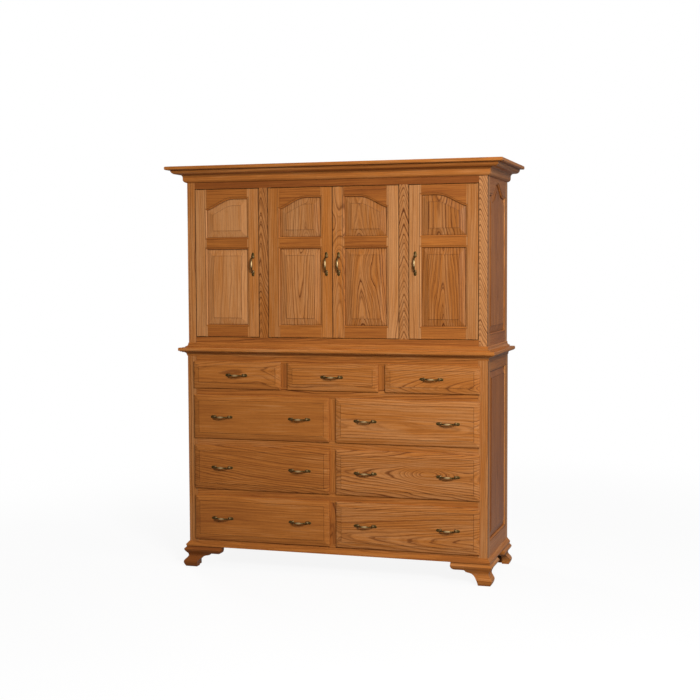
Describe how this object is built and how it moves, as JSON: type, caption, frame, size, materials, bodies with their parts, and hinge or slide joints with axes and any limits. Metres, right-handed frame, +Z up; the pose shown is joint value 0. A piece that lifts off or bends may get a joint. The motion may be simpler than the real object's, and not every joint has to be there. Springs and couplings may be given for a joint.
{
  "type": "mule chest",
  "caption": "Tall stained oak chest: a cabinet with arched raised-panel doors stands on a case of wide drawers with bow pulls, a crown moulding, a moulded waist and ogee bracket feet.",
  "frame": {"origin": "on the floor, under the middle of the whole chest's bounding box", "axes": "+Z up, -Y out of the doors and drawers, +X to the right of someone who faces the chest"},
  "size_m": [1.741, 0.613, 2.066],
  "materials": {
    "stained_oak": "satin lacquer over a warm medium stain",
    "inner_oak": "clear matt lacquer",
    "oak_plywood": "unfinished veneer",
    "antique_brass": "aged, dark in the hollows and rubbed bright on the bow"
  },
  "bodies": {
    "case": {"base_face_frame": "stained_oak", "base_left_side": "stained_oak", "base_right_side": "stained_oak", "base_back_panel": "oak_plywood", "base_web_frames": "inner_oak", "base_moulding": "stained_oak", "front_left_foot": "stained_oak", "front_right_foot": "stained_oak", "back_left_foot": "stained_oak", "back_right_foot": "stained_oak", "waist_board": "stained_oak", "waist_cove": "stained_oak", "upper_face_frame": "stained_oak", "upper_left_side": "stained_oak", "upper_right_side": "stained_oak", "upper_back_panel": "oak_plywood", "upper_case_boards": "inner_oak", "upper_shelves": "inner_oak", "upper_fittings": "antique_brass", "upper_base_moulding": "stained_oak", "crown_moulding": "stained_oak"},
    "left_door": {"left_door_frame": "stained_oak", "left_door_panels": "stained_oak", "left_door_hardware": "antique_brass"},
    "centre_left_door": {"centre_left_door_frame": "stained_oak", "centre_left_door_panels": "stained_oak", "centre_left_door_hardware": "antique_brass"},
    "centre_right_door": {"centre_right_door_frame": "stained_oak", "centre_right_door_panels": "stained_oak", "centre_right_door_hardware": "antique_brass"},
    "right_door": {"right_door_frame": "stained_oak", "right_door_panels": "stained_oak", "right_door_hardware": "antique_brass"},
    "top_left_drawer": {"top_left_drawer_front": "stained_oak", "top_left_drawer_box": "inner_oak", "top_left_drawer_pulls": "antique_brass"},
    "top_middle_drawer": {"top_middle_drawer_front": "stained_oak", "top_middle_drawer_box": "inner_oak", "top_middle_drawer_pulls": "antique_brass"},
    "top_right_drawer": {"top_right_drawer_front": "stained_oak", "top_right_drawer_box": "inner_oak", "top_right_drawer_pulls": "antique_brass"},
    "second_left_drawer": {"second_left_drawer_front": "stained_oak", "second_left_drawer_box": "inner_oak", "second_left_drawer_pulls": "antique_brass"},
    "second_right_drawer": {"second_right_drawer_front": "stained_oak", "second_right_drawer_box": "inner_oak", "second_right_drawer_pulls": "antique_brass"},
    "third_left_drawer": {"third_left_drawer_front": "stained_oak", "third_left_drawer_box": "inner_oak", "third_left_drawer_pulls": "antique_brass"},
    "third_right_drawer": {"third_right_drawer_front": "stained_oak", "third_right_drawer_box": "inner_oak", "third_right_drawer_pulls": "antique_brass"},
    "bottom_left_drawer": {"bottom_left_drawer_front": "stained_oak", "bottom_left_drawer_box": "inner_oak", "bottom_left_drawer_pulls": "antique_brass"},
    "bottom_right_drawer": {"bottom_right_drawer_front": "stained_oak", "bottom_right_drawer_box": "inner_oak", "bottom_right_drawer_pulls": "antique_brass"}
  },
  "joints": [
    {"name": "left_door_hinge", "type": "hinge", "parent": "case", "child": "left_door", "pos_m": [-0.7315, -0.2125, 1.196], "axis": [0, 0, -1], "range_deg": [0, 100]},
    {"name": "centre_left_door_hinge", "type": "hinge", "parent": "case", "child": "centre_left_door", "pos_m": [-0.3345, -0.2125, 1.196], "axis": [0, 0, -1], "range_deg": [0, 100]},
    {"name": "centre_right_door_hinge", "type": "hinge", "parent": "case", "child": "centre_right_door", "pos_m": [0.3345, -0.2125, 1.196], "axis": [0, 0, 1], "range_deg": [0, 100]},
    {"name": "right_door_hinge", "type": "hinge", "parent": "case", "child": "right_door", "pos_m": [0.7315, -0.2125, 1.196], "axis": [0, 0, 1], "range_deg": [0, 100]},
    {"name": "top_left_drawer_slide", "type": "slide", "parent": "case", "child": "top_left_drawer", "axis": [0, -1, 0], "range_m": [0, 0.38]},
    {"name": "top_middle_drawer_slide", "type": "slide", "parent": "case", "child": "top_middle_drawer", "axis": [0, -1, 0], "range_m": [0, 0.38]},
    {"name": "top_right_drawer_slide", "type": "slide", "parent": "case", "child": "top_right_drawer", "axis": [0, -1, 0], "range_m": [0, 0.38]},
    {"name": "second_left_drawer_slide", "type": "slide", "parent": "case", "child": "second_left_drawer", "axis": [0, -1, 0], "range_m": [0, 0.38]},
    {"name": "second_right_drawer_slide", "type": "slide", "parent": "case", "child": "second_right_drawer", "axis": [0, -1, 0], "range_m": [0, 0.38]},
    {"name": "third_left_drawer_slide", "type": "slide", "parent": "case", "child": "third_left_drawer", "axis": [0, -1, 0], "range_m": [0, 0.38]},
    {"name": "third_right_drawer_slide", "type": "slide", "parent": "case", "child": "third_right_drawer", "axis": [0, -1, 0], "range_m": [0, 0.38]},
    {"name": "bottom_left_drawer_slide", "type": "slide", "parent": "case", "child": "bottom_left_drawer", "axis": [0, -1, 0], "range_m": [0, 0.38]},
    {"name": "bottom_right_drawer_slide", "type": "slide", "parent": "case", "child": "bottom_right_drawer", "axis": [0, -1, 0], "range_m": [0, 0.38]}
  ]
}
